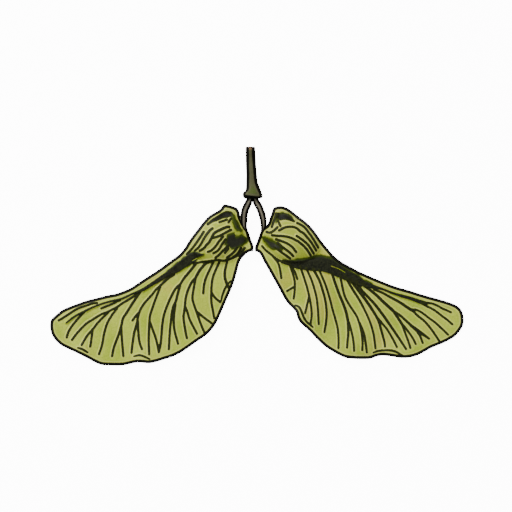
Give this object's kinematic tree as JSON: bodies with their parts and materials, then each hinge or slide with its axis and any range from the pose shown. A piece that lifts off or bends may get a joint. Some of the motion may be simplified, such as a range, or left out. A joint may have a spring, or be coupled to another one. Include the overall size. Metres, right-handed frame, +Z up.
{
  "type": "maple samara",
  "caption": "Double maple samara lying flat: paired ribbed nutlets with veined, spreading wings, joined by a forked stalk.",
  "frame": {"origin": "on the surface it lies on, under the middle of its box", "axes": "+X from the left wing tip to the right one, +Y along the stalk towards its cut end, +Z up"},
  "size_m": [0.0824, 0.0434, 0.0047],
  "materials": {
    "samara": "satin",
    "stalk": "satin"
  },
  "bodies": {
    "root": {"samara_left": "samara", "samara_right": "samara", "stalk": "stalk"}
  },
  "joints": []
}
